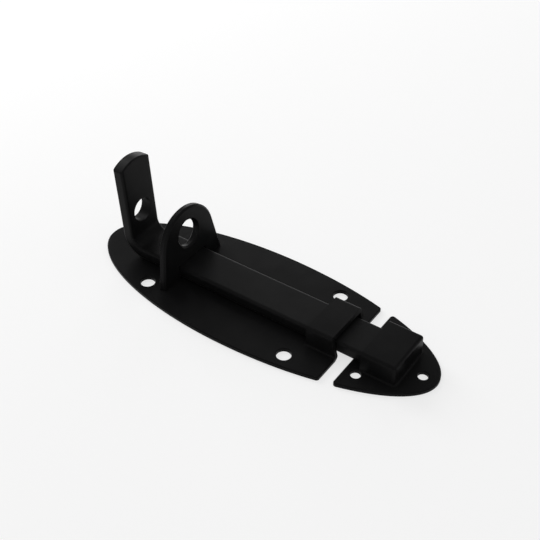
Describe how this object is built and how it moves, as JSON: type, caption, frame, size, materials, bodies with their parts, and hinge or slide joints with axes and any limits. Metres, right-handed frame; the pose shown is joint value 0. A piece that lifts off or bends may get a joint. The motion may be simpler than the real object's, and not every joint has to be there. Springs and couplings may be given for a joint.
{
  "type": "padbolt",
  "caption": "Oval padbolt: a flat bar slides through a pressed bridge into a keep box, with padlock holes in its upturned handle and in an upright lug.",
  "frame": {"origin": "middle of the oval's length, on its centre line, at the flat back face that lies on the door", "axes": "+X along the bolt from the handle to the keep, +Z out of the door, +Y completes the right hand"},
  "size_m": [0.15, 0.0542, 0.0431],
  "materials": {
    "black_paint": "semi-gloss black paint over pressed steel"
  },
  "bodies": {
    "plates": {"back_plate": "black_paint", "keep_plate": "black_paint", "lug": "black_paint"},
    "bolt": {"bolt": "black_paint"}
  },
  "joints": [
    {"name": "bolt_slide", "type": "slide", "parent": "plates", "child": "bolt", "axis": [-1, 0, 0], "range_m": [0, 0.0225]}
  ]
}
